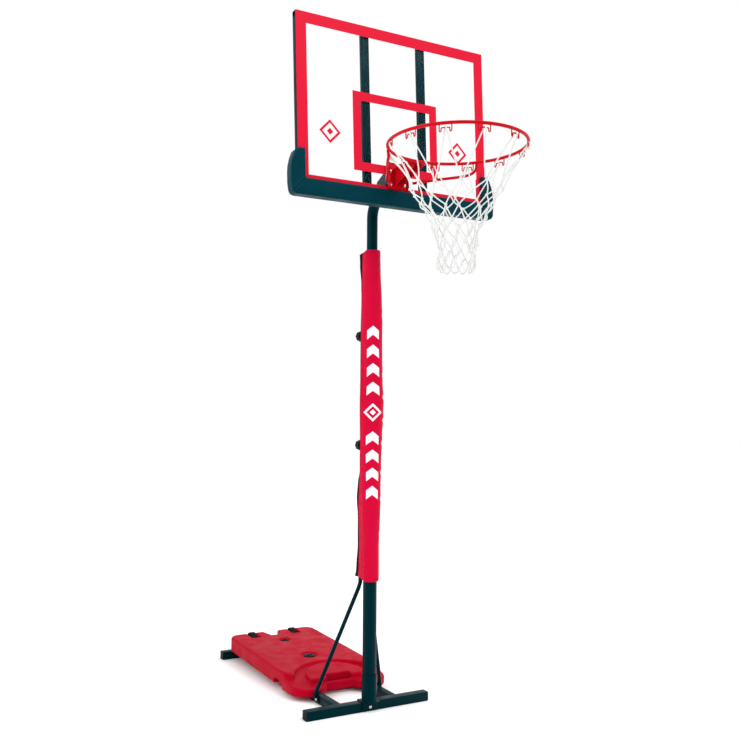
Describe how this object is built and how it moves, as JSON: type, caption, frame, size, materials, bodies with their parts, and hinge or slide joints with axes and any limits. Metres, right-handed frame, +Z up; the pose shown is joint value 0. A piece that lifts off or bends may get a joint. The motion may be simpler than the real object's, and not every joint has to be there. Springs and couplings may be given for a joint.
{
  "type": "portable basketball hoop",
  "caption": "Free-standing basketball hoop with a clear board, padded height-adjustable pole, steel base frame and ballast tank.",
  "frame": {"origin": "on the floor at the underside of the front crossbar, below the pole axis", "axes": "+Z up along the pole, -Y towards the ring and the player, +X to the right seen from the front"},
  "size_m": [0.872, 1.7464, 2.5622],
  "materials": {
    "green_steel": "satin powder coat",
    "red_steel": "satin powder coat",
    "zinc_steel": "zinc plated",
    "black_plastic": "matte",
    "red_plastic": "blow-moulded satin",
    "red_cover": "coated fabric over foam",
    "green_foam": "smooth moulded skin",
    "clear_acrylic": "clear with a printed red border",
    "white_cord": "braided cord"
  },
  "bodies": {
    "base": {"axle_left": "zinc_steel", "axle_right": "zinc_steel", "ballast_tank": "red_plastic", "brace_bolt_left": "zinc_steel", "brace_bolt_right": "zinc_steel", "brace_clamp": "green_steel", "brace_left": "green_steel", "brace_right": "green_steel", "brace_top_bolt": "zinc_steel", "foot_bolt": "zinc_steel", "front_crossbar": "green_steel", "front_end_cap_left": "black_plastic", "front_end_cap_right": "black_plastic", "lower_collar": "black_plastic", "lower_pole": "green_steel", "padding_strap_lower": "black_plastic", "padding_strap_middle": "black_plastic", "padding_strap_upper": "black_plastic", "pole_foot": "green_steel", "pole_padding": "red_cover", "rear_crossbar": "green_steel", "rear_end_cap_left": "black_plastic", "rear_end_cap_right": "black_plastic", "side_rail_left": "green_steel", "side_rail_right": "green_steel"},
    "middle_section": {"middle_pole": "green_steel", "middle_collar": "black_plastic"},
    "upper_section": {"upper_pole": "green_steel", "board_carrier": "green_steel", "carrier_bolt": "zinc_steel", "acrylic_panel": "clear_acrylic", "frame_top": "green_steel", "frame_bottom": "green_steel", "frame_left": "green_steel", "frame_right": "green_steel", "strut_left": "green_steel", "strut_right": "green_steel", "edge_pad": "green_foam", "ring_bracket": "red_steel", "ring": "red_steel", "ring_stay_left": "red_steel", "ring_stay_right": "red_steel", "net": "white_cord", "ring_bolt_1": "zinc_steel", "ring_bolt_2": "zinc_steel", "ring_bolt_3": "zinc_steel", "ring_bolt_4": "zinc_steel"},
    "filler_cap": {"filler_cap": "black_plastic"},
    "drain_cap": {"drain_cap": "black_plastic"},
    "wheel_left": {"wheel_left": "black_plastic"},
    "wheel_right": {"wheel_right": "black_plastic"},
    "lower_knob": {"lower_knob": "black_plastic"},
    "upper_knob": {"upper_knob": "black_plastic"}
  },
  "joints": [
    {"name": "middle_slide", "type": "slide", "parent": "base", "child": "middle_section", "axis": [0, 0, 1], "range_m": [0, 0.25]},
    {"name": "upper_slide", "type": "slide", "parent": "middle_section", "child": "upper_section", "axis": [0, 0, 1], "range_m": [-0.1, 0.25]},
    {"name": "lower_knob_turn", "type": "hinge", "parent": "base", "child": "lower_knob", "pos_m": [0, 0.06, 1.027], "axis": [0, 1, 0], "continuous": true},
    {"name": "upper_knob_turn", "type": "hinge", "parent": "middle_section", "child": "upper_knob", "pos_m": [0, 0.06, 1.456], "axis": [0, 1, 0], "continuous": true},
    {"name": "wheel_left_spin", "type": "hinge", "parent": "base", "child": "wheel_left", "pos_m": [-0.104, 0.918, 0.082], "axis": [1, 0, 0], "continuous": true},
    {"name": "wheel_right_spin", "type": "hinge", "parent": "base", "child": "wheel_right", "pos_m": [0.104, 0.918, 0.082], "axis": [1, 0, 0], "continuous": true},
    {"name": "filler_cap_turn", "type": "hinge", "parent": "base", "child": "filler_cap", "pos_m": [0, 0.519, 0.0862], "axis": [0, 0, 1], "continuous": true},
    {"name": "drain_cap_turn", "type": "hinge", "parent": "base", "child": "drain_cap", "pos_m": [0, 0.776, 0.095], "axis": [0, 0, 1], "continuous": true}
  ]
}
